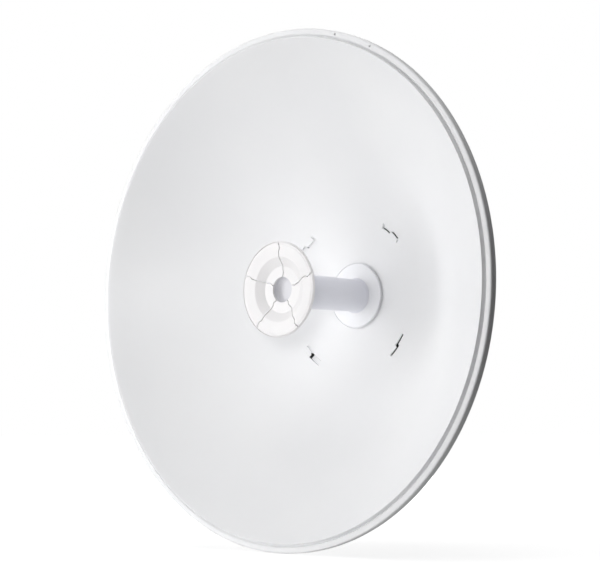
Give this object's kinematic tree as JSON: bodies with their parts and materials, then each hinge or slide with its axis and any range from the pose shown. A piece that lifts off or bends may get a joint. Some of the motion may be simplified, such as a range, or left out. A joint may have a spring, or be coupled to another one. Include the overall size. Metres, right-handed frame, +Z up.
{
  "type": "parabolic dish antenna",
  "caption": "White parabolic dish antenna with a front feed on a tube, a slotted feed disc, twist-lock marks, a round rear housing and a tilting pole bracket with V jaws.",
  "frame": {"origin": "centre of the flat rear face of the pole bracket, the face that lies against the pole", "axes": "+Y is that face's outward normal, towards the pole, so the dish looks along -Y; +Z is up, along the pole; +X is to the right seen from the front"},
  "size_m": [0.65, 0.3495, 0.65],
  "materials": {
    "white_paint": "satin white powder coat",
    "white_plastic": "fine satin moulded white",
    "grey_plastic": "fine satin moulded light grey",
    "zinc_steel": "galvanised, slightly mottled",
    "bolt_steel": "bright zinc plated",
    "black_rubber": "matt moulded"
  },
  "bodies": {
    "root": {"reflector": "white_paint", "feed_base": "white_plastic", "feed_tube": "white_plastic", "feed_neck": "white_plastic", "hub_cup": "white_plastic", "disc_petal_1": "white_plastic", "disc_petal_2": "white_plastic", "disc_petal_3": "white_plastic", "disc_petal_4": "white_plastic", "disc_petal_5": "white_plastic", "lock_plate": "zinc_steel", "rear_housing": "grey_plastic", "rear_cap": "grey_plastic", "cable_grommet": "black_rubber", "tilt_bracket": "zinc_steel", "pole_bracket": "zinc_steel", "jaw_upper": "zinc_steel", "jaw_lower": "zinc_steel", "pivot_bolt": "bolt_steel", "pivot_nut": "bolt_steel", "tilt_bolt": "bolt_steel", "tilt_nut": "bolt_steel", "clamp_bolt_1": "bolt_steel", "clamp_bolt_2": "bolt_steel", "clamp_bolt_3": "bolt_steel", "clamp_bolt_4": "bolt_steel", "clamp_nut_1": "bolt_steel", "clamp_nut_2": "bolt_steel", "clamp_nut_3": "bolt_steel", "clamp_nut_4": "bolt_steel", "housing_bolt_1": "bolt_steel", "housing_bolt_2": "bolt_steel", "housing_bolt_3": "bolt_steel", "housing_bolt_4": "bolt_steel"}
  },
  "joints": []
}
